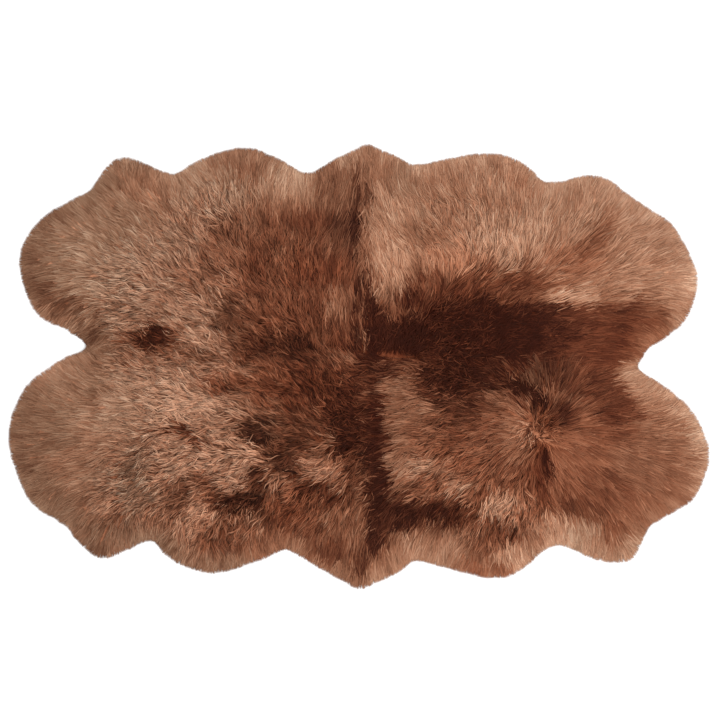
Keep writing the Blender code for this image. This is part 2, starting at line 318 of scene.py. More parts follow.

# The wool's tone and redness, laid down in soft patches, each over the ones before it: middle, half length
# and half width in millimetres, turn in degrees, then how light and how red it is. Besides the wool's own
# colour the
# patches hold painted light and shade: the broad light and shade of the skins' soft mounds and hollows,
# painted shade in hollows and in the furrows along the seams, painted light on the rim at the right end, and
# a dark band where the wool lies away from the light. The edges of the patches wander a little, and no patch
# crosses the seam between the left skins and the right ones.
Patch = namedtuple("Patch", "x y length width turn tone redness")
PATCHES = (
    Patch(-700, 280, 190, 180, 0, 0.77, 0.28),
    Patch(-810, 270, 60, 90, 0, 0.69, 0.14),
    Patch(-860, 265, 120, 40, 90, 0.53, 0.10),
    Patch(-785, 400, 110, 38, 35, 0.53, 0.10),
    Patch(-620, 524, 100, 32, 0, 0.65, 0.28),
    Patch(-650, 474, 40, 24, 0, 0.62, 0.20),
    Patch(-560, 524, 40, 18, -10, 0.57, 0.26),
    Patch(-640, 380, 110, 60, 0, 0.70, 0.26),
    Patch(-700, 440, 50, 34, 30, 0.64, 0.18),
    Patch(-350, 470, 180, 95, 10, 0.76, 0.36),
    Patch(-330, 545, 150, 32, 0, 0.63, 0.42),
    Patch(-280, 500, 42, 30, 0, 0.60, 0.50),
    Patch(-175, 460, 75, 66, 0, 0.84, 0.45),
    Patch(-490, 320, 80, 64, 0, 0.73, 0.32),
    Patch(-180, 300, 175, 130, 0, 0.50, 0.62),
    Patch(-55, 440, 60, 120, 0, 0.55, 0.44),
    Patch(-120, 375, 80, 26, 0, 0.40, 0.70),
    Patch(-44, 540, 60, 26, 0, 0.80, 0.46),
    # Painted shade in the furrow of the seam, as in the other narrow dark patches along the seams.
    Patch(-4, 445, 110, 9, 90, 0.28, 0.36),
    Patch(-312, 345, 90, 50, 150, 0.51, 0.42),
    Patch(-265, 255, 90, 50, 90, 0.42, 0.60),
    Patch(-374, 256, 34, 34, 0, 0.56, 0.40),
    Patch(-432, 292, 26, 22, 0, 0.56, 0.36),
    Patch(-365, 412, 30, 30, 0, 0.80, 0.36),
    Patch(-500, 212, 30, 34, 0, 0.80, 0.34),
    Patch(-588, 236, 18, 44, -20, 0.84, 0.30),
    Patch(-44, 366, 48, 34, 90, 0.34, 0.40),
    Patch(-14, 335, 75, 14, 90, 0.12, 0.40),
    Patch(-430, 110, 105, 85, 0, 0.75, 0.42),
    Patch(-330, 130, 60, 48, 90, 0.36, 0.20),
    Patch(-150, 130, 180, 70, 0, 0.42, 0.64),
    Patch(-205, 50, 126, 44, 0, 0.18, 0.50),
    Patch(-60, 170, 44, 28, 90, 0.66, 0.60),
    Patch(-100, 245, 100, 50, 0, 0.44, 0.84),
    Patch(-6, 150, 90, 9, 90, 0.20, 0.60),
    Patch(-44, 68, 40, 24, 0, 0.38, 0.75),
    Patch(-8, 45, 60, 14, 90, 0.16, 0.60),
    Patch(-610, 125, 95, 60, 0, 0.73, 0.31),
    Patch(-626, 46, 90, 40, 0, 0.57, 0.26),
    Patch(-785, 168, 100, 38, -32, 0.47, 0.25),
    Patch(-535, 66, 75, 48, 0, 0.42, 0.50),
    # Painted shade in a hollow of the wool.
    Patch(-526, 76, 42, 34, 0, 0.06, 0.75),
    Patch(-795, -58, 75, 32, 15, 0.49, 0.08),
    Patch(-700, 60, 44, 44, 0, 0.49, 0.12),
    Patch(-410, 28, 42, 18, -20, 0.40, 0.30),
    Patch(-600, -80, 270, 115, 0, 0.78, 0.38),
    Patch(-780, -110, 50, 60, 0, 0.66, 0.24),
    Patch(-700, -40, 50, 70, 0, 0.68, 0.30),
    Patch(-872, -180, 130, 40, 90, 0.52, 0.11),
    Patch(-802, -336, 110, 55, -40, 0.61, 0.04),
    Patch(-810, -170, 80, 62, 0, 0.61, 0.06),
    Patch(-688, -280, 94, 74, 0, 0.68, 0.36),
    Patch(-580, -300, 130, 45, 90, 0.66, 0.16),
    Patch(-640, -434, 90, 46, 0, 0.60, 0.22),
    Patch(-700, -480, 80, 34, -30, 0.44, 0.10),
    Patch(-440, -90, 120, 55, -15, 0.88, 0.48),
    Patch(-482, -236, 45, 45, 0, 0.87, 0.40),
    Patch(-380, -240, 130, 70, 0, 0.79, 0.48),
    Patch(-450, -176, 52, 20, -20, 0.30, 0.76),
    Patch(-425, -400, 85, 58, 90, 0.79, 0.58),
    Patch(-470, -340, 60, 28, 60, 0.44, 0.36),
    Patch(-395, -315, 60, 24, 120, 0.50, 0.66),
    Patch(-300, -350, 92, 30, 0, 0.14, 0.40),
    Patch(-266, -292, 60, 22, 90, 0.22, 0.40),
    Patch(-262, -232, 50, 24, -45, 0.91, 0.60),
    Patch(-348, -140, 30, 24, 0, 0.68, 0.44),
    Patch(-540, -242, 22, 22, 0, 0.66, 0.30),
    Patch(-530, -442, 56, 18, 0, 0.64, 0.20),
    Patch(-235, -390, 46, 24, -40, 0.34, 0.40),
    Patch(-335, -450, 90, 60, 0, 0.50, 0.56),
    Patch(-240, -455, 60, 38, 0, 0.60, 0.60),
    Patch(-370, -514, 130, 26, 0, 0.62, 0.32),
    Patch(-505, -478, 50, 28, 0, 0.60, 0.14),
    Patch(-262, -160, 55, 30, 0, 0.26, 0.20),
    Patch(-278, -182, 34, 16, -20, 0.05, 0.30),
    Patch(-330, -50, 75, 32, -10, 0.41, 0.70),
    Patch(-290, -84, 70, 30, 0, 0.64, 0.44),
    Patch(-200, -50, 90, 62, 0, 0.41, 0.75),
    Patch(-90, -50, 120, 75, 0, 0.27, 0.75),
    Patch(-150, -155, 85, 42, 0, 0.37, 0.50),
    Patch(-190, -225, 76, 46, 0, 0.22, 0.40),
    Patch(-35, -160, 115, 60, 90, 0.12, 0.65),
    Patch(-85, -190, 42, 20, 90, 0.50, 0.40),
    Patch(-105, -258, 75, 38, -20, 0.74, 0.60),
    Patch(-110, -330, 95, 30, -12, 0.24, 0.60),
    Patch(-180, -375, 70, 55, 0, 0.43, 0.75),
    Patch(-125, -432, 34, 20, 0, 0.42, 0.65),
    Patch(-40, -415, 42, 62, 0, 0.54, 0.60),
    Patch(-80, -476, 60, 28, 0, 0.42, 0.65),
    Patch(-6, -505, 40, 12, 90, 0.26, 0.50),
    Patch(-26, -556, 40, 24, -30, 0.56, 0.46),
    Patch(-18, -285, 75, 28, 90, 0.33, 0.50),
    Patch(350, 430, 420, 210, 0, 0.80, 0.52),
    Patch(150, 530, 90, 30, 0, 0.83, 0.52),
    Patch(330, 548, 120, 24, 0, 0.72, 0.50),
    Patch(52, 500, 65, 54, 0, 0.67, 0.49),
    Patch(120, 478, 45, 32, 0, 0.66, 0.34),
    Patch(222, 440, 66, 105, 0, 0.71, 0.52),
    Patch(240, 345, 40, 20, 0, 0.72, 0.60),
    Patch(695, 415, 84, 50, -30, 0.83, 0.54),
    Patch(12, 450, 90, 15, 90, 0.24, 0.30),
    Patch(12, 378, 36, 12, 90, 0.36, 0.16),
    Patch(165, 338, 65, 36, -20, 0.58, 0.44),
    Patch(58, 306, 75, 42, 90, 0.84, 0.60),
    Patch(13, 318, 42, 12, 90, 0.70, 0.62),
    Patch(370, 325, 135, 50, 10, 0.87, 0.57),
    Patch(325, 440, 50, 44, 0, 0.75, 0.54),
    Patch(360, 415, 34, 22, 0, 0.70, 0.54),
    Patch(400, 484, 56, 26, -40, 0.72, 0.62),
    Patch(250, 278, 100, 36, 0, 0.77, 0.80),
    Patch(340, 208, 200, 43, 5, 0.43, 0.78),
    Patch(560, 272, 110, 55, 0, 0.66, 0.74),
    Patch(510, 244, 34, 18, 0, 0.80, 0.68),
    Patch(625, 335, 62, 38, 60, 0.54, 0.62),
    Patch(750, 312, 115, 105, 0, 0.81, 0.54),
    Patch(100, 270, 80, 32, 65, 0.82, 0.62),
    Patch(165, 228, 48, 20, 25, 0.42, 0.76),
    # A dark band of painted shade, where the lie of the wool turns it away from the light.
    Patch(340, 90, 290, 100, 0, 0.06, 0.72),
    Patch(10, 150, 130, 34, 90, 0.15, 0.66),
    Patch(130, 185, 34, 30, 0, 0.20, 0.70),
    Patch(100, 140, 24, 30, 0, 0.42, 0.70),
    Patch(390, 185, 62, 20, 0, 0.48, 0.70),
    Patch(545, 182, 78, 25, -5, 0.93, 0.60),
    Patch(690, 225, 95, 46, 0, 0.78, 0.56),
    Patch(700, 120, 70, 56, 0, 0.36, 0.80),
    Patch(590, 110, 100, 60, 0, 0.36, 0.78),
    Patch(515, 72, 50, 40, 0, 0.16, 0.70),
    Patch(630, 42, 108, 60, 0, 0.38, 0.85),
    Patch(830, 200, 80, 50, 90, 0.85, 0.58),
    # Painted light on the rim at the right end, where the wool slopes down into shade.
    Patch(882, 250, 74, 26, 90, 0.98, 0.58),
    Patch(865, 150, 50, 32, 0, 0.70, 0.56),
    Patch(762, 72, 58, 30, 45, 0.62, 0.72),
    Patch(50, 80, 50, 75, 0, 0.10, 0.70),
    Patch(8, 35, 60, 14, 90, 0.12, 0.60),
    Patch(140, 75, 60, 50, 0, 0.02, 0.65),
    Patch(48, -12, 50, 24, 0, 0.22, 0.60),
    Patch(540, -240, 420, 200, 0, 0.57, 0.75),
    Patch(130, -130, 75, 110, 0, 0.61, 0.50),
    Patch(280, -210, 150, 120, 0, 0.50, 0.68),
    Patch(244, -30, 114, 60, 0, 0.10, 0.60),
    Patch(250, -106, 60, 40, 0, 0.32, 0.50),
    Patch(440, -25, 70, 28, 20, 0.36, 0.20),
    Patch(512, -22, 48, 36, 0, 0.34, 0.50),
    Patch(350, -75, 45, 34, 0, 0.54, 0.50),
    Patch(405, -160, 100, 50, 75, 0.67, 0.60),
    Patch(325, -200, 32, 26, 0, 0.60, 0.66),
    Patch(420, -290, 60, 32, 80, 0.43, 0.72),
    Patch(430, -66, 90, 24, -25, 0.09, 0.50),
    Patch(550, -75, 65, 22, 20, 0.44, 0.40),
    Patch(515, -122, 42, 30, 0, 0.22, 0.60),
    Patch(600, -40, 80, 40, 0, 0.38, 0.70),
    Patch(685, -110, 84, 62, 0, 0.36, 0.75),
    Patch(724, -34, 60, 30, -25, 0.83, 0.50),
    Patch(790, -90, 120, 52, -35, 0.81, 0.58),
    Patch(876, -205, 150, 42, 90, 0.88, 0.52),
    Patch(780, -170, 80, 55, -30, 0.67, 0.57),
    Patch(750, -260, 120, 85, 0, 0.58, 0.55),
    Patch(640, -305, 70, 44, 0, 0.47, 0.67),
    Patch(575, -368, 85, 30, -6, 0.43, 0.66),
    Patch(140, -262, 74, 34, -6, 0.80, 0.50),
    Patch(240, -312, 50, 18, 14, 0.80, 0.50),
    Patch(222, -284, 44, 14, 0, 0.70, 0.60),
    Patch(354, -360, 64, 44, 20, 0.85, 0.55),
    Patch(170, -300, 60, 26, 0, 0.56, 0.70),
    Patch(160, -374, 140, 36, -7, 0.14, 0.60),
    Patch(370, -430, 60, 24, -20, 0.38, 0.60),
    Patch(40, -330, 140, 32, 90, 0.13, 0.60),
    Patch(31, -140, 130, 27, 90, 0.15, 0.75),
    Patch(26, -215, 60, 20, 90, 0.12, 0.60),
    Patch(466, -250, 100, 24, 98, 0.34, 0.88),
    Patch(478, -240, 64, 9, 106, 0.20, 0.80),
    Patch(458, -166, 32, 20, 30, 0.20, 0.50),
    Patch(432, -190, 26, 8, 50, 0.84, 0.50),
    Patch(192, -474, 82, 30, 0, 0.79, 0.56),
    Patch(320, -465, 50, 30, 0, 0.54, 0.66),
    Patch(385, -490, 56, 32, 0, 0.90, 0.66),
    Patch(330, -522, 80, 18, -8, 0.57, 0.80),
    Patch(515, -430, 60, 48, 0, 0.85, 0.60),
    Patch(585, -440, 55, 46, 0, 0.84, 0.42),
    Patch(560, -484, 110, 20, 0, 0.77, 0.50),
    Patch(646, -430, 46, 50, 0, 0.49, 0.70),
    Patch(710, -474, 80, 38, 0, 0.77, 0.44),
    Patch(86, -515, 52, 36, 0, 0.70, 0.55),
    Patch(34, -430, 60, 24, 90, 0.19, 0.55),
    Patch(6, -505, 40, 14, 90, 0.25, 0.50),
    Patch(112, -402, 52, 28, 0, 0.17, 0.60),
    Patch(40, -556, 40, 20, 30, 0.76, 0.52),
    Patch(5, -390, 60, 6, 90, 0.46, 0.55),
    Patch(774, -382, 90, 30, 30, 0.63, 0.58),
)
MAIN_TONE = 0.66
MAIN_REDNESS = 0.5
PATCH_EDGE = 1.38
PATCH_FADE = 0.9
PATCH_WANDER = 9.0
WANDER_SIZES = (0.09, 0.05, 0.028)
STEADY_WIDTH = 40
MOTTLES = ((0.10, 0.022), (0.05, 0.026), (0.028, 0.026))
WAVES = 6
WAVE_SPREAD = (0.7, 1.4)
WAVES_PEAK = 2.5


def drift(spots, size, chance):
    """A smooth random value of about -1 to 1 for each spot, which changes over about the given size."""
    value = np.zeros(spots.shape[:-1])
    for _ in range(WAVES):
        turn = chance.uniform(0, 2 * math.pi)
        wave = (spots[..., 0] * math.cos(turn) + spots[..., 1] * math.sin(turn)) / size
        wave = wave * chance.uniform(*WAVE_SPREAD) * 2 * math.pi
        value += np.sin(wave + chance.uniform(0, 2 * math.pi))
    return value / WAVES_PEAK


patch_chance = np.random.default_rng(3)
map_spots = np.stack((map_x, map_y), axis=-1)
wander = [sum(drift(map_spots, size, patch_chance) for size in WANDER_SIZES) for _ in (0, 1)]
tone_map = np.full(map_x.shape, MAIN_TONE)
redness_map = np.full(map_x.shape, MAIN_REDNESS)
on_left = np.where(nearest_skin < 0, map_x < 0, nearest_skin % 2 == 0).astype(float)
for patch in PATCHES:
    turn = math.radians(patch.turn)
    strays = PATCH_WANDER * min(1, patch.width / STEADY_WIDTH)
    right = map_x * 1000 - patch.x + strays * wander[0]
    up = map_y * 1000 - patch.y + strays * wander[1]
    along = (right * math.cos(turn) + up * math.sin(turn)) / patch.length
    across = (up * math.cos(turn) - right * math.sin(turn)) / patch.width
    cover = np.clip((PATCH_EDGE - np.hypot(along, across)) / PATCH_FADE, 0, 1)
    cover = cover * cover * (3 - 2 * cover) * (on_left if patch.x < 0 else 1 - on_left)
    tone_map += (patch.tone - tone_map) * cover
    redness_map += (patch.redness - redness_map) * cover
for size, strength in MOTTLES:
    tone_map += strength * drift(map_spots, size, patch_chance)

# How tangled the wool is, from 0 where it is combed smooth to 1 where it is tousled, and 3 in the middle of
# the whorl. A row gives a place and a reach in millimetres. Near the rim the wool is combed smoother.
Tangle = namedtuple("Tangle", "x y reach amount")
TANGLES = (
    Tangle(-830, 220, 130, 0.10), Tangle(700, 190, 130, 0.10), Tangle(-700, -230, 110, 0.08),
    Tangle(-390, 90, 170, 1.25), Tangle(-530, 190, 110, 0.75), Tangle(-540, 70, 90, 0.80),
    Tangle(-380, 370, 110, 0.75),
    Tangle(-380, -300, 190, 1.25), Tangle(-560, -330, 110, 0.90), Tangle(-230, -240, 120, 1.30),
    Tangle(-90, -250, 100, 1.00), Tangle(-310, -60, 120, 0.70), Tangle(-820, -200, 120, 0.10),
    Tangle(-80, 400, 110, 0.20), Tangle(80, 500, 90, 0.15), Tangle(250, 400, 150, 0.45),
    Tangle(390, 220, 160, 0.60), Tangle(540, 210, 110, 0.55), Tangle(540, 70, 200, 0.05),
    Tangle(230, -250, 120, 0.65), Tangle(390, -380, 120, 0.90), Tangle(430, -60, 90, 0.50),
    Tangle(-200, 230, 110, 0.65), Tangle(-220, 70, 100, 0.80), Tangle(-80, -70, 100, 1.00),
    Tangle(230, 60, 120, 0.55),
    Tangle(240, -70, 110, 0.60), Tangle(760, -260, 170, 0.05), Tangle(575, -215, 90, 0.05),
    Tangle(456, -164, 24, 3.00),
)
COMBED = 0.30
COMBED_RIM = 0.10
RIM_TANGLE = 0.4

tangle_map = np.full(map_x.shape, COMBED)
for tangle in TANGLES:
    away = (map_x * 1000 - tangle.x) ** 2 + (map_y * 1000 - tangle.y) ** 2
    tangle_map += (tangle.amount - tangle_map) * np.exp(-away / tangle.reach**2)
tangle_map *= RIM_TANGLE + (1 - RIM_TANGLE) * np.clip(-rim_distance / COMBED_RIM, 0, 1)

# Under the long wool lies the dense undercoat, felted and dark: partly the redder colour of the roots and
# partly painted shade deep in the wool. It follows each skin's own shape, lower and less far out than the
# tips of the wool, and the fibres stand in it. It stands higher under combed wool, which lies closer. Painted
# light makes it paler there, in the slots between the locks, and painted shade makes it darkest under the
# most tangled wool and in the eye of the whorl.
UNDERCOAT_TANGLES = (0.15, 0.7)
UNDERCOAT_SHARES = (0.85, 0.74)
UNDERCOAT_RIM = 0.035
UNDERCOAT_RIM_DROP = 0.14
UNDERCOAT_BASE = 0.0027
UNDERCOAT_REACH = 0.35
UNDERCOAT_DRAWN_FROM = 0.002
UNDERCOAT_TONE = -0.3
UNDERCOAT_PAINTED_LIGHT = 0.25
UNDERCOAT_PAINTED_LIGHT_BELOW = 0.6
UNDERCOAT_PAINTED_SHADE = 0.3
TUFT_TONE = 0.5

undercoat_share = np.interp(tangle_map, UNDERCOAT_TANGLES, UNDERCOAT_SHARES)
undercoat_share -= UNDERCOAT_RIM_DROP * np.clip(1 + rim_distance / UNDERCOAT_RIM, 0, 1)
undercoat_wool = bpy.data.materials.new("undercoat_wool")
undercoat_wool.use_nodes = True
undercoat_shader = undercoat_wool.node_tree.nodes["Principled BSDF"]
undercoat_shader.inputs["Roughness"].default_value = 0.95
undercoat_shader.inputs["Specular IOR Level"].default_value = 0.05
undercoat_place = undercoat_wool.node_tree.nodes.new("ShaderNodeTexCoord")
undercoat_tufts = undercoat_wool.node_tree.nodes.new("ShaderNodeTexNoise")
undercoat_tufts.inputs["Scale"].default_value = 140.0
undercoat_tufts.inputs["Detail"].default_value = 5.0
undercoat_wool.node_tree.links.new(undercoat_place.outputs["Object"], undercoat_tufts.inputs["Vector"])


def worked_out(tree, operation, a, b=0.0):
    """A math node's result. Each input is a socket or a number."""
    node = tree.nodes.new("ShaderNodeMath")
    node.operation = operation
    for socket, value in zip(node.inputs, (a, b)):
        if isinstance(value, bpy.types.NodeSocket):
            tree.links.new(value, socket)
        else:
            socket.default_value = value
    return node.outputs[0]


tone_above = undercoat_wool.node_tree.nodes.new("ShaderNodeAttribute")
tone_above.attribute_name = "wool_tone"
tuft_share = worked_out(undercoat_wool.node_tree, "MULTIPLY", undercoat_tufts.outputs["Fac"], TUFT_TONE)
undercoat_tone = worked_out(undercoat_wool.node_tree, "ADD", tone_above.outputs["Fac"], tuft_share)
undercoat_colour = undercoat_wool.node_tree.nodes.new("ShaderNodeGroup")
undercoat_colour.node_tree = wool_colour
undercoat_colour.inputs["Redness"].default_value = 0.6
undercoat_colour.inputs["Along"].default_value = 0.35
undercoat_wool.node_tree.links.new(undercoat_tone, undercoat_colour.inputs["Tone"])
undercoat_wool.node_tree.links.new(undercoat_colour.outputs["Colour"], undercoat_shader.inputs["Base Color"])
undercoat_bump = undercoat_wool.node_tree.nodes.new("ShaderNodeBump")
undercoat_bump.inputs["Distance"].default_value = 0.004
undercoat_wool.node_tree.links.new(undercoat_tufts.outputs["Fac"], undercoat_bump.inputs["Height"])
undercoat_wool.node_tree.links.new(undercoat_bump.outputs["Normal"], undercoat_shader.inputs["Normal"])

for name in SKINS:
    bm = bmesh.new()
    bm.from_mesh(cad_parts[name].data)
    bmesh.ops.remove_doubles(bm, verts=bm.verts, dist=SAME_SPOT)
    tone_layer = bm.verts.layers.float.new("wool_tone")
    for vertex in bm.verts:
        spot = np.array(vertex.co)
        vertex.co.z = UNDERCOAT_BASE + vertex.co.z * float(read_off(spot, undercoat_share))
        tangled = float(read_off(spot, tangle_map))
        # Painted light makes the undercoat paler under combed wool, and painted shade makes it darker under
        # the most tangled wool and in the whorl.
        painted_light = UNDERCOAT_PAINTED_LIGHT * max(0.0, 1 - tangled / UNDERCOAT_PAINTED_LIGHT_BELOW)
        painted_shade = UNDERCOAT_PAINTED_SHADE * min(1.0, max(0.0, tangled - 1.0))
        vertex[tone_layer] = float(read_off(spot, tone_map)) + UNDERCOAT_TONE + painted_light - painted_shade
        beyond = read_off(spot, rim_distance)
        if beyond > UNDERCOAT_DRAWN_FROM:
            drawn_in = beyond * (1 - UNDERCOAT_REACH)
            vertex.co.x -= float(read_off(spot, out_x)) * drawn_in
            vertex.co.y -= float(read_off(spot, out_y)) * drawn_in
    undercoat_mesh = bpy.data.meshes.new(name.replace("sheepskin", "undercoat"))
    bm.to_mesh(undercoat_mesh)
    bm.free()
    undercoat_mesh.shade_smooth()
    undercoat_mesh.materials.append(undercoat_wool)
    undercoat = bpy.data.objects.new(undercoat_mesh.name, undercoat_mesh)
    bpy.context.scene.collection.objects.link(undercoat)
    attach(undercoat, "root")
    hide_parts(name)

# The lie of the long wool. Combing left it fanned out from the middle of each skin, with a few whorls and
# partings: a row gives a place in millimetres and the direction in which the wool lies there, in degrees.
# A row counts for its own skin and hardly for the others, and near the rim the wool turns outwards.
Lie = namedtuple("Lie", "x y turn")
LIES = (
    Lie(-796, 298, 180), Lie(-822, 170, 192), Lie(-744, 427, 150), Lie(-590, 504, 125), Lie(-590, 350, 143),
    Lie(-590, 170, 168), Lie(-680, 93, 205), Lie(-410, 427, 118), Lie(-410, 273, 133), Lie(-410, 118, 152),
    Lie(-230, 478, 92), Lie(-204, 324, 97), Lie(-153, 170, 105), Lie(-50, 478, 72), Lie(-50, 298, 72),
    Lie(-50, 118, 95), Lie(-230, 80, 140), Lie(-530, 60, 175),
    Lie(53, 478, 112), Lie(53, 298, 116), Lie(53, 144, 80), Lie(207, 478, 116), Lie(207, 324, 124),
    Lie(361, 427, 104), Lie(413, 324, 90), Lie(516, 375, 70), Lie(618, 427, 55), Lie(618, 298, 35),
    Lie(747, 324, 20), Lie(850, 247, 0), Lie(721, 170, 8), Lie(824, 144, -18), Lie(516, 195, 18),
    Lie(361, 170, 35), Lie(233, 93, 20), Lie(464, 93, 4), Lie(670, 80, -6), Lie(104, 195, 108),
    Lie(-847, -165, 180), Lie(-796, -345, 207), Lie(-667, -447, 240), Lie(-770, -36, 165),
    Lie(-590, -10, 160), Lie(-590, -139, 176), Lie(-642, -267, 192), Lie(-513, -267, 205),
    Lie(-513, -422, 248), Lie(-410, -36, 155), Lie(-410, -165, 170), Lie(-384, -293, 198),
    Lie(-384, -447, 258), Lie(-256, -36, 148), Lie(-230, -165, 165), Lie(-230, -345, 232),
    Lie(-256, -470, 262), Lie(-102, -87, 130), Lie(-102, -242, 190), Lie(-127, -396, 240),
    Lie(-50, -447, 272), Lie(-24, -293, 245),
    Lie(60, -60, 178), Lie(150, -90, 182), Lie(240, -150, 190), Lie(120, -230, 197), Lie(250, -240, 210),
    Lie(348, -100, 165), Lie(387, -152, 184), Lie(360, -205, 206), Lie(400, -242, 234), Lie(426, -293, 262),
    Lie(464, -267, 286), Lie(516, -293, 305), Lie(567, -267, 318), Lie(541, -203, 328), Lie(618, -190, 342),
    Lie(670, -242, 336), Lie(516, -110, 55), Lie(593, -100, 25), Lie(464, -90, 100), Lie(413, -75, 145),
    Lie(618, -139, 0), Lie(477, -152, 20), Lie(430, -180, 215), Lie(700, -140, 0), Lie(747, -87, 4),
    Lie(850, -165, -2), Lie(824, -293, -22), Lie(721, -396, -58), Lie(618, -470, -80), Lie(360, -340, 250),
    Lie(104, -293, 205), Lie(79, -396, 240), Lie(53, -499, 262), Lie(160, -470, 255), Lie(290, -460, 250),
    Lie(400, -470, 270), Lie(515, -430, 280), Lie(590, -410, 290),
)
LIE_REACH = 0.045
ACROSS_SEAM = 0.002
OUTWARD_REACH = 0.030
OUTWARD_PULL = 2.4

lie_spots = np.array([(lie.x, lie.y) for lie in LIES]) / 1000
lie_turns = np.radians([lie.turn for lie in LIES])
lie_cells = ((lie_spots - map_low) / MAP_CELL).astype(int)
lie_skins = skin_map[lie_cells[:, 1], lie_cells[:, 0]]
along_x = np.zeros(map_x.shape)
along_y = np.zeros(map_x.shape)
for spot, turn, skin in zip(lie_spots, lie_turns, lie_skins):
    away = (map_x - spot[0]) ** 2 + (map_y - spot[1]) ** 2
    weight = 1 / (away + LIE_REACH**2) ** 2 * np.where(skin_map == skin, 1, ACROSS_SEAM)
    along_x += weight * np.cos(turn)
    along_y += weight * np.sin(turn)
length = np.hypot(along_x, along_y)
outward = np.exp(np.minimum(rim_distance, 0) / OUTWARD_REACH)
lie_x = along_x / length + OUTWARD_PULL * outward * out_x
lie_y = along_y / length + OUTWARD_PULL * outward * out_y

# The long wool: fine fibres that hang together in wavy pointed locks about 8 mm wide, each combed its own
# way and lying over its neighbours. A longer top coat lies over it, and a fringe of it covers the rim down
# to the floor. The roots of a coat lie between two distances from the rim.
WHOLE_SKIN = -1.0
Coat = namedtuple("Coat", "name fibres rings length width lift deepest highest seed")
COATS = (
    Coat("long_wool", 23500, 1, 0.045, 0.0026, 0.000, WHOLE_SKIN, 0.000, 5),
    Coat("top_wool", 5000, 2, 0.048, 0.0022, 0.003, WHOLE_SKIN, -0.004, 11),
    Coat("rim_wool", 6500, 1, 0.034, 0.0022, 0.000, -0.028, 0.008, 17),
)
NOTCH_DRAW = 0.010
WOOL_TOP_AT_RIM = 0.020
OFF_FLOOR = 0.003
FELT_EDGE = 0.004

# Wool of more than the first value counts as that tangled, and above the second it is in a whorl. Where the
# wool is short and dark it is ruffled, which means that its fibres stand every way.
MOST_TANGLED = 1.25
WHORL_TANGLE = 1.4
RUFFLED_BELOW = 0.30
RUFFLED_FADE = 0.2
RIM_WIDTH = 0.04

# The locks are strewn loosely, some a little beyond the rim, where they turn aside less. A fibre joins the
# nearest of them, where a distance along the wool counts for less than one across it. Turn, crimp and tone
# drift from lock to lock, each over its own distance.
LOOSENESS = 0.42
LOCK_SPACING = 0.010
LOCKS_BEYOND = 0.008
LOCK_SHAPE = (2.0, 0.8)
LOCKS_NEAR = 8
LOCK_LENGTHS = (0.82, 1.15)
LOCK_OVERHANG = (0.0042, 0.0052)
STEADY_RIM = 0.03
STEADY_SHARE = 0.3
CRIMP_LENGTH = 0.050
CRIMP_SCATTER = 1.5
TURN_DRIFT = 0.09
CRIMP_DRIFT = 0.15
TONE_DRIFT = 0.05
TONE_DRIFT_STRENGTH = 0.04
UNEVEN_STRENGTH = 1.2
UNEVEN_LIGHTEST = 0.6
UNEVEN_MIDDLE = 0.17

# The first of each pair is for wool combed smooth, and the second is what full tangling adds to it. Sway,
# turn and spread are in degrees.
LOCK_SWAY = (6, 16)
LOCK_TURN = (3, 12)
LOCK_LIFT = (0.35, 0.9)
LOCK_TONE = (0.02, 0.07)
LOCK_GATHER = (0.35, 0.8)
FIBRE_SPREAD = (3, 4)
FIBRE_RIDGE = (0.32, 0.65)
FIBRE_TONE = (0.028, 0.070)
CRIMP_DEPTH = (0.0005, 0.0030)
ROOT_SHADE_AND_BLEACH = (0.45, 0.7)

# A fibre: where its rings are along it, how its sizes spread, and how it lies under the top of the wool. It
# is tried shorter and shorter until its tip is no longer beyond the reach of its lock.
RINGS_AT = {1: (0.45,), 2: (0.30, 0.66)}
FIBRE_LENGTHS = (0.9, 1.1)
FIBRE_WIDTHS = (0.7, 1.25)
FIBRE_OVERHANG = (-0.003, 0.0010)
SHORTER_SHARES = np.linspace(1.0, 0.15, 18)
ROOT_DEPTH = 0.002
ABOVE_FELT = 0.001
RING_DEPTH = 0.006
RING_LIFT = 0.006
RING_STRAY = 0.001
TIP_DEPTH = 0.005
TIP_LIFT = 0.007
TIP_STRAY = 0.002
TIP_GATHER = 0.8
TIP_LOWEST = 0.0015
RIM_SPREAD = 6
RUFFLED_TURN = 32
RUFFLED_SHORTER = 0.35
WHORLED_TURN = 80
WHORLED_SHORTER = 0.5
CUT_GATHER = (0.3, 0.7)
RIM_GATHER = 0.8

# Its colour is read off the maps near its tip. Combed fibres are flat shaded, which looks lighter and redder,
# so their tone and redness are lowered to match. Darker strands, in part painted shade of the gaps between
# locks, are less red, and tangled ones have darker roots, partly painted shade, and paler bleached tips.
SEEN_AT = 0.7
SEEN_STRAY = 0.007
ROUNDED_FROM = (0.4, 0.7)
FLAT_TONE = 0.115
FLAT_REDNESS = 0.24
LOCK_REDNESS = 0.03
RUFFLED_TONE = 0.08
SHADE_REDNESS = (0.06, 1.4)
# Painted light makes the wool paler towards and beyond the rim, where its tips face outward, away from the
# light.
RIM_PAINTED_LIGHT = 0.05
RIM_PAINTED_LIGHT_FROM = 0.3
TONE_LIMITS = (0.01, 0.99)
TONE_ACROSS = (-0.004, 0.004, 0.0)
ALONG_ENDS = (0.04, 0.96)
ALONG_MIDDLE = 0.6
RUFFLED_ROOT_SHADE_AND_BLEACH = 0.4
REDNESS_BANDS = 20

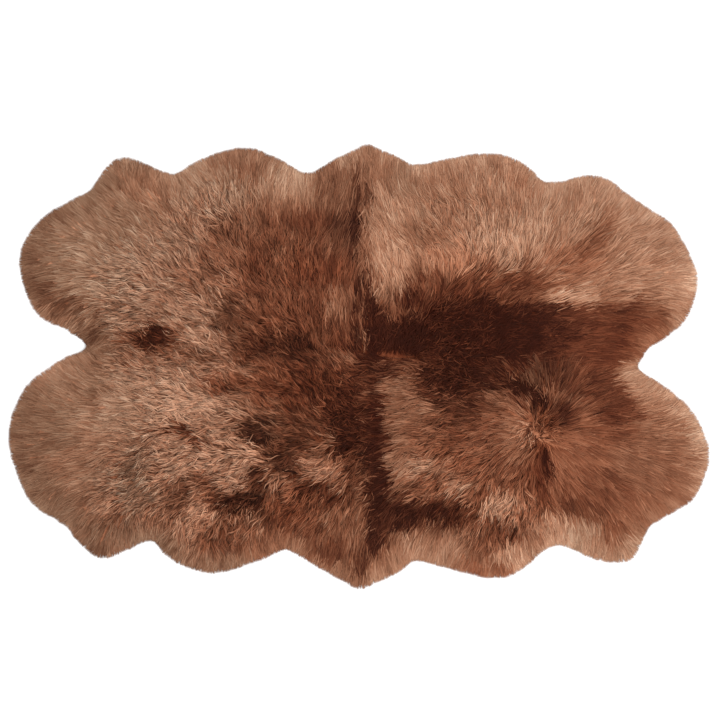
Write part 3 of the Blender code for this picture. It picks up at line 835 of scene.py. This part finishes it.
long_wool = bpy.data.materials.new("long_wool")
long_wool.use_nodes = True
wool_tree = long_wool.node_tree
wool_shader = wool_tree.nodes["Principled BSDF"]
wool_shader.inputs["Roughness"].default_value = 0.6
wool_shader.inputs["Specular IOR Level"].default_value = 0.05
wool_shader.inputs["Sheen Weight"].default_value = 0.04
wool_shader.inputs["Sheen Roughness"].default_value = 0.4
wool_shader.inputs["Sheen Tint"].default_value = (0.9, 0.45, 0.3, 1)
fibre_map = wool_tree.nodes.new("ShaderNodeUVMap")
fibre_map.uv_map = "OFBake"
fibre_axes = wool_tree.nodes.new("ShaderNodeSeparateXYZ")
wool_tree.links.new(fibre_map.outputs["UV"], fibre_axes.inputs["Vector"])

# Across the map of a fibre runs its tone. Up it run the bands of redness, and within each band the way along
# the fibre.
banded = worked_out(wool_tree, "MULTIPLY", fibre_axes.outputs["Y"], REDNESS_BANDS)
band = worked_out(wool_tree, "FLOOR", banded)
fibre_redness = worked_out(wool_tree, "DIVIDE", band, REDNESS_BANDS - 1)
fibre_along = worked_out(wool_tree, "FRACT", banded)
fibre_colour = wool_tree.nodes.new("ShaderNodeGroup")
fibre_colour.node_tree = wool_colour
wool_tree.links.new(fibre_axes.outputs["X"], fibre_colour.inputs["Tone"])
wool_tree.links.new(fibre_redness, fibre_colour.inputs["Redness"])
wool_tree.links.new(fibre_along, fibre_colour.inputs["Along"])
wool_tree.links.new(fibre_colour.outputs["Colour"], wool_shader.inputs["Base Color"])

# The wool reaches less far out where the rim turns inwards, because its locks meet there.
wool_top = softened(np.where(slab, solid_top, WOOL_TOP_AT_RIM), 1)
meeting = -np.gradient(out_x, MAP_CELL, axis=1) - np.gradient(out_y, MAP_CELL, axis=0)
drawn_out = rim_distance * (1 + NOTCH_DRAW * np.maximum(meeting, 0))
reach_map = np.where(rim_distance > 0, drawn_out, rim_distance)


def wool_height(spots):
    """How high the wool stands at each spot. Outside the rim it falls to the floor."""
    outside = np.clip(read_off(spots, rim_distance) / LOCK_REACH, 0, 1)
    return read_off(spots, wool_top) * (1 - outside) + OFF_FLOOR * outside


def felt_height(spots):
    """How high the felted undercoat stands at each spot, or a little off the floor outside the rim."""
    inside = np.clip(-read_off(spots, rim_distance) / FELT_EDGE, 0, 1)
    felted = read_off(spots, undercoat_share) * read_off(spots, wool_top)
    return OFF_FLOOR + inside * (felted + UNDERCOAT_BASE - OFF_FLOOR)


def scattered(skin, spacing, chance, deepest, highest):
    """Spots spread evenly but loosely over one skin, between two distances from its rim."""
    low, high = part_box(SKINS[skin])
    columns = np.arange(low.x, high.x, spacing)
    rows = np.arange(low.y, high.y, spacing * math.sqrt(3) / 2)
    spots = np.stack(np.meshgrid(columns, rows), axis=-1)
    spots[1::2, :, 0] += spacing / 2
    strays = chance.uniform(-LOOSENESS, LOOSENESS, (spots.size // 2, 2))
    spots = spots.reshape(-1, 2) + strays * spacing
    cell = np.clip(((spots - map_low) / MAP_CELL).astype(int), 0, map_size - 1)
    from_rim = read_off(spots, rim_distance)
    on_skin = nearest_skin[cell[:, 1], cell[:, 0]] == skin
    return spots[on_skin & (from_rim < highest) & (from_rim > deepest)]


def uneven(count, chance):
    """Random steps of tone about 0, many a little lighter and a few much darker. The dark ones are
    painted shade, like that of the gaps between locks.
    """
    steps = np.minimum(chance.standard_normal(count), UNEVEN_LIGHTEST)
    return UNEVEN_STRENGTH * (steps + UNEVEN_MIDDLE)


def by_tangle(pair, tangled):
    """The value for combed wool, and what its tangling adds."""
    return pair[0] + pair[1] * tangled


for skin, name in enumerate(SKINS):
    chance = np.random.default_rng(20 * skin)
    locks = scattered(skin, LOCK_SPACING, chance, WHOLE_SKIN, LOCKS_BEYOND)
    count = len(locks)
    tangled = read_off(locks, tangle_map)
    lock_turn = np.radians(by_tangle(LOCK_SWAY, tangled)) * drift(locks, TURN_DRIFT, chance)
    lock_turn += np.radians(by_tangle(LOCK_TURN, tangled)) * chance.standard_normal(count)
    lock_turn *= np.clip(-read_off(locks, rim_distance) / STEADY_RIM, STEADY_SHARE, 1)
    tangled = np.minimum(tangled, MOST_TANGLED)
    lock_heading = np.arctan2(read_off(locks, lie_y), read_off(locks, lie_x)) + lock_turn
    lock_lift = 0.5 + by_tangle(LOCK_LIFT, tangled) * chance.uniform(-0.5, 0.5, count)
    lock_crimp = 2 * math.pi * drift(locks, CRIMP_DRIFT, chance)
    lock_crimp += CRIMP_SCATTER * tangled * chance.standard_normal(count)
    lock_length = chance.uniform(*LOCK_LENGTHS, count)
    lock_tone = TONE_DRIFT_STRENGTH * drift(locks, TONE_DRIFT, chance)
    # Lock tones step about at random, and the darkest steps are painted shade of the gaps between locks.
    lock_tone += by_tangle(LOCK_TONE, tangled) * uneven(count, chance)
    lock_redness = LOCK_REDNESS * chance.standard_normal(count)
    lock_reach = LOCK_REACH + chance.uniform(*LOCK_OVERHANG, count)
    lock_tree = KDTree(count)
    for k, lock in enumerate(locks):
        lock_tree.insert((lock[0], lock[1], 0), k)
    lock_tree.balance()

    for coat in COATS:
        chance = np.random.default_rng(coat.seed + 20 * skin)
        open_cells = nearest_skin == skin
        open_cells &= (rim_distance < coat.highest) & (rim_distance > coat.deepest)
        area = open_cells.sum() * MAP_CELL**2
        spacing = math.sqrt(area / coat.fibres * 2 / math.sqrt(3))
        roots = scattered(skin, spacing, chance, coat.deepest, coat.highest)
        count = len(roots)

        # Each fibre goes with the lock that is best in line with it.
        lie = np.stack((read_off(roots, lie_x), read_off(roots, lie_y)), axis=1)
        lie /= np.hypot(lie[:, 0], lie[:, 1])[:, None]
        close = np.zeros((count, LOCKS_NEAR), dtype=int)
        for k, root in enumerate(roots):
            close[k] = [found[1] for found in lock_tree.find_n((root[0], root[1], 0), LOCKS_NEAR)]
        apart = locks[close] - roots[:, None, :]
        lengthwise = (apart * lie[:, None, :]).sum(axis=2) / LOCK_SHAPE[0]
        crosswise = apart[..., 1] * lie[:, None, 0] - apart[..., 0] * lie[:, None, 1]
        crosswise = crosswise / LOCK_SHAPE[1]
        mine = close[np.arange(count), np.argmin(lengthwise**2 + crosswise**2, axis=1)]

        # It turns a little off its lock, more near the rim and most in a whorl or where the wool is ruffled.
        # Then it is shortened to its reach, and drawn in towards the middle line of its lock.
        tousled = np.minimum(read_off(roots, tangle_map), MOST_TANGLED)
        whorled = np.clip(read_off(roots, tangle_map) - WHORL_TANGLE, 0, 1)
        ruffled = np.clip((RUFFLED_BELOW - read_off(roots, tone_map)) / RUFFLED_FADE, 0, 1)
        rimward = np.clip(1 + read_off(roots, rim_distance) / RIM_WIDTH, 0, 1)
        spread = np.radians(by_tangle(FIBRE_SPREAD, tousled) + RIM_SPREAD * rimward)
        heading = lock_heading[mine] + spread * chance.standard_normal(count)
        spread = np.radians(RUFFLED_TURN * ruffled + WHORLED_TURN * whorled)
        heading += spread * chance.standard_normal(count)
        ahead = np.stack((np.cos(heading), np.sin(heading)), axis=1)
        aside = np.stack((-ahead[:, 1], ahead[:, 0]), axis=1)
        length = coat.length * lock_length[mine] * chance.uniform(*FIBRE_LENGTHS, count)
        length *= 1 - RUFFLED_SHORTER * ruffled
        reach = lock_reach[mine] + chance.uniform(*FIBRE_OVERHANG, count)
        kept = np.ones(count)
        for share in SHORTER_SHARES:
            too_far = read_off(roots + ahead * (length * kept)[:, None], reach_map) > reach
            kept = np.where(too_far, np.minimum(kept, share), kept)
        length *= kept * (1 - WHORLED_SHORTER * whorled)
        gather = -((roots - locks[mine]) * aside).sum(axis=1)
        gather *= 1 - ruffled
        gather *= CUT_GATHER[0] + CUT_GATHER[1] * (kept == 1)
        gather *= np.minimum(by_tangle(LOCK_GATHER, tousled), 1) * (1 - RIM_GATHER * rimward)
        crimp_depth = by_tangle(CRIMP_DEPTH, tousled)
        lift = lock_lift[mine]
        half = coat.width / 2 * chance.uniform(*FIBRE_WIDTHS, count)

        def crimped(spots):
            """How far aside the crimp of its lock carries each spot."""
            along = ((spots - locks[mine]) * ahead).sum(axis=1)
            return crimp_depth * np.sin(2 * math.pi * along / CRIMP_LENGTH + lock_crimp[mine])

        # A fibre is a slim spindle: a point at the root, one or two rings of left, right and ridge, and
        # its tip.
        rings = coat.rings
        corners = np.zeros((count, 3 * rings + 2, 3))
        corners[:, 0, :2] = roots
        corners[:, 0, 2] = felt_height(roots) - ROOT_DEPTH
        for ring, share in enumerate(RINGS_AT[rings]):
            centre = roots + ahead * (share * length)[:, None] + aside * (share * gather)[:, None]
            centre += aside * crimped(centre)[:, None]
            z = wool_height(centre) - RING_DEPTH + RING_LIFT * lift + coat.lift
            z += chance.uniform(-RING_STRAY, RING_STRAY, count)
            z = np.maximum(z, felt_height(centre) + ABOVE_FELT)
            side = aside * half[:, None]
            first = 1 + 3 * ring
            corners[:, first, :2] = centre + side
            corners[:, first + 1, :2] = centre - side
            corners[:, first + 2, :2] = centre
            corners[:, first : first + 3, 2] = z[:, None]
            corners[:, first + 2, 2] += half * by_tangle(FIBRE_RIDGE, tousled)
        tip = roots + ahead * length[:, None] + aside * (TIP_GATHER * gather)[:, None]
        tip += aside * crimped(tip)[:, None]
        tip_z = wool_height(tip) - TIP_DEPTH + TIP_LIFT * lift + coat.lift
        tip_z += chance.uniform(-TIP_STRAY, TIP_STRAY, count)
        corners[:, -1, :2] = tip
        corners[:, -1, 2] = np.maximum(tip_z, TIP_LOWEST)

        # Its tone, its redness in bands and the places along it become its two map values.
        strays = SEEN_STRAY * chance.standard_normal((len(locks), 2))
        seen = roots + ahead * (SEEN_AT * length)[:, None] + strays[mine]
        fibre_tone = by_tangle(FIBRE_TONE, tousled) + RUFFLED_TONE * ruffled
        shade = lock_tone[mine] + fibre_tone * uneven(count, chance)
        rounded = tousled > chance.uniform(*ROUNDED_FROM, count)
        tone = read_off(seen, tone_map) + shade - FLAT_TONE * ~rounded
        # Painted light: paler tips towards and beyond the rim, which face away from the light and lie in
        # shade.
        tone += RIM_PAINTED_LIGHT * np.clip(read_off(seen, rim_distance) / LOCK_REACH + RIM_PAINTED_LIGHT_FROM, 0, 1)
        tone = np.clip(tone, *TONE_LIMITS)
        redness = read_off(seen, redness_map) + lock_redness[mine] - FLAT_REDNESS * ~rounded
        redness += SHADE_REDNESS[0] + SHADE_REDNESS[1] * np.minimum(shade, 0)
        band = np.clip(np.round(redness * (REDNESS_BANDS - 1)), 0, REDNESS_BANDS - 1)
        # How strongly a fibre darkens towards its root, partly painted shade, and pales towards its bleached
        # tip.
        root_shade_and_bleach = np.minimum(by_tangle(ROOT_SHADE_AND_BLEACH, tousled), 1) * (1 - RUFFLED_ROOT_SHADE_AND_BLEACH * ruffled)
        across_steps = [0.0, *TONE_ACROSS * rings, 0.0]
        along_steps = [ALONG_ENDS[0], *np.repeat(RINGS_AT[rings], 3), ALONG_ENDS[1]]
        along_steps = ALONG_MIDDLE + (np.array(along_steps) - ALONG_MIDDLE) * root_shade_and_bleach[:, None]
        across_map = tone[:, None] + across_steps
        up_map = (band[:, None] + along_steps) / REDNESS_BANDS
        fibre_uv = np.stack((across_map, up_map), axis=2)

        last = 3 * rings + 1
        faces = [(0, 2, 1), (0, 3, 2), (0, 1, 3)]
        faces += [(last - 3, last - 2, last), (last - 2, last - 1, last), (last - 1, last - 3, last)]
        sides = [(1, 2, 5, 4), (2, 3, 6, 5), (3, 1, 4, 6)] if rings == 2 else []
        starts = (3 * rings + 2) * np.arange(count)[:, None, None]
        triangles = (starts + np.array(faces)).reshape(-1, 3)
        quads = (starts + np.array(sides, dtype=int).reshape(-1, 4)).reshape(-1, 4)
        piece_name = name.replace("sheepskin", coat.name)
        wool_mesh = bpy.data.meshes.new(piece_name)
        wool_mesh.from_pydata(corners.reshape(-1, 3), [], triangles.tolist() + quads.tolist())
        uv_layer = wool_mesh.uv_layers.new(name="OFBake")
        face_corners = np.concatenate((triangles.ravel(), quads.ravel()))
        corner_uv = fibre_uv.reshape(-1, 2)[face_corners].astype(np.float32)
        uv_layer.uv.foreach_set("vector", corner_uv.ravel())
        round_faces = np.concatenate([np.repeat(rounded, len(part)) for part in (faces, sides)])
        wool_mesh.polygons.foreach_set("use_smooth", round_faces)
        wool_mesh.materials.append(long_wool)
        wool = bpy.data.objects.new(piece_name, wool_mesh)
        bpy.context.scene.collection.objects.link(wool)
        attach(wool, "root")
        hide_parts(name)
